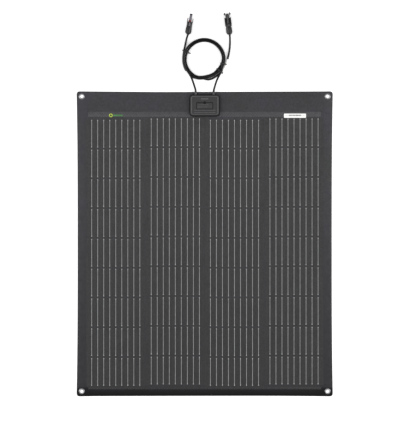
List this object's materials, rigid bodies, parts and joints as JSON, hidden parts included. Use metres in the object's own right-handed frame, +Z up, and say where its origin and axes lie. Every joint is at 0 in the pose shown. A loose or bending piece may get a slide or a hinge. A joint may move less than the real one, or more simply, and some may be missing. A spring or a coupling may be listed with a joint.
{
  "type": "flexible solar sheet",
  "caption": "Thin flexible solar panel with cell rows, corner eyelets, a front junction box and two coiled cables that end in latching connectors.",
  "frame": {"origin": "centre of the sheet's outline, on the surface that it lies on", "axes": "+X across the sheet, +Y along the sheet towards the junction box and cables, +Z up from the face"},
  "size_m": [0.792, 1.1867, 0.0208],
  "materials": {
    "back_sheet": "satin black back sheet",
    "solar_cell": "dark silicon",
    "front_film": "finely textured dark laminate",
    "ribbon": "tinned copper",
    "eyelet": "bright nickel",
    "label": "white label film",
    "pad": "black silicone",
    "box": "black moulded plastic",
    "gasket": "black rubber",
    "copper": "plain copper",
    "diode": "black moulding compound",
    "tinned_metal": "tinned",
    "gland": "black moulded plastic",
    "cable": "satin black jacket",
    "tie": "black nylon",
    "connector": "black moulded plastic",
    "red_seal": "red silicone"
  },
  "bodies": {
    "root": {"back_sheet_1": "back_sheet", "cell_row_1": "solar_cell", "front_film_1": "front_film", "bus_ribbons": "ribbon", "grommets_top": "eyelet", "serial_label": "label", "box_pad": "pad", "box_tray": "box", "terminal_rails": "copper", "bypass_diodes": "diode", "cable_clamps": "tinned_metal", "cable_glands": "gland", "cable_left_lead": "cable", "cable_left_tail": "cable", "cable_right_lead": "cable", "cable_right_tail": "cable", "cable_coil": "cable", "coil_ties": "tie", "cable_tags": "label", "plug_housing": "connector", "plug_contact": "tinned_metal", "plug_ring_seal": "red_seal", "plug_cable_seal": "red_seal", "plug_clamp_basket": "connector", "plug_cap_nut": "connector", "socket_housing": "connector", "socket_pin": "tinned_metal", "socket_cable_seal": "red_seal", "socket_clamp_basket": "connector", "socket_cap_nut": "connector"},
    "row_2": {"back_sheet_2": "back_sheet", "cell_row_2": "solar_cell", "front_film_2": "front_film"},
    "row_3": {"back_sheet_3": "back_sheet", "cell_row_3": "solar_cell", "front_film_3": "front_film"},
    "row_4": {"back_sheet_4": "back_sheet", "cell_row_4": "solar_cell", "front_film_4": "front_film"},
    "row_5": {"back_sheet_5": "back_sheet", "cell_row_5": "solar_cell", "front_film_5": "front_film"},
    "row_6": {"back_sheet_6": "back_sheet", "cell_row_6": "solar_cell", "front_film_6": "front_film"},
    "row_7": {"back_sheet_7": "back_sheet", "cell_row_7": "solar_cell", "front_film_7": "front_film"},
    "row_8": {"back_sheet_8": "back_sheet", "cell_row_8": "solar_cell", "front_film_8": "front_film"},
    "row_9": {"back_sheet_9": "back_sheet", "cell_row_9": "solar_cell", "front_film_9": "front_film", "bus_ribbons_bottom": "ribbon", "grommets_bottom": "eyelet"},
    "lid": {"box_lid": "box", "lid_seal": "gasket"},
    "left_latch": {"latch_arm_left": "connector"},
    "right_latch": {"latch_arm_right": "connector"}
  },
  "joints": [
    {"name": "sheet_flex_1", "type": "hinge", "parent": "root", "child": "row_2", "pos_m": [0, 0.29815, 0.0012], "axis": [-1, 0, 0], "range_deg": [0, 7.5], "stiffness_Nm_per_rad": 3},
    {"name": "sheet_flex_2", "type": "hinge", "parent": "row_2", "child": "row_3", "pos_m": [0, 0.20615, 0.0012], "axis": [-1, 0, 0], "range_deg": [0, 7.5], "stiffness_Nm_per_rad": 3},
    {"name": "sheet_flex_3", "type": "hinge", "parent": "row_3", "child": "row_4", "pos_m": [0, 0.11415, 0.0012], "axis": [-1, 0, 0], "range_deg": [0, 7.5], "stiffness_Nm_per_rad": 3},
    {"name": "sheet_flex_4", "type": "hinge", "parent": "row_4", "child": "row_5", "pos_m": [0, 0.02215, 0.0012], "axis": [-1, 0, 0], "range_deg": [0, 7.5], "stiffness_Nm_per_rad": 3},
    {"name": "sheet_flex_5", "type": "hinge", "parent": "row_5", "child": "row_6", "pos_m": [0, -0.06985, 0.0012], "axis": [-1, 0, 0], "range_deg": [0, 7.5], "stiffness_Nm_per_rad": 3},
    {"name": "sheet_flex_6", "type": "hinge", "parent": "row_6", "child": "row_7", "pos_m": [0, -0.16185, 0.0012], "axis": [-1, 0, 0], "range_deg": [0, 7.5], "stiffness_Nm_per_rad": 3},
    {"name": "sheet_flex_7", "type": "hinge", "parent": "row_7", "child": "row_8", "pos_m": [0, -0.25385, 0.0012], "axis": [-1, 0, 0], "range_deg": [0, 7.5], "stiffness_Nm_per_rad": 3},
    {"name": "sheet_flex_8", "type": "hinge", "parent": "row_8", "child": "row_9", "pos_m": [0, -0.34585, 0.0012], "axis": [-1, 0, 0], "range_deg": [0, 7.5], "stiffness_Nm_per_rad": 3},
    {"name": "lid_lift", "type": "slide", "parent": "root", "child": "lid", "axis": [0, 0, 1], "range_m": [0, 0.02]},
    {"name": "press_left_latch", "type": "hinge", "parent": "root", "child": "left_latch", "pos_m": [0.06487, 0.68096, 0.01], "axis": [0, 0, -1], "range_deg": [0, 2], "stiffness_Nm_per_rad": 0.5},
    {"name": "press_right_latch", "type": "hinge", "parent": "root", "child": "right_latch", "pos_m": [0.08035, 0.68289, 0.01], "axis": [0, 0, 1], "range_deg": [0, 2], "stiffness_Nm_per_rad": 0.5}
  ]
}
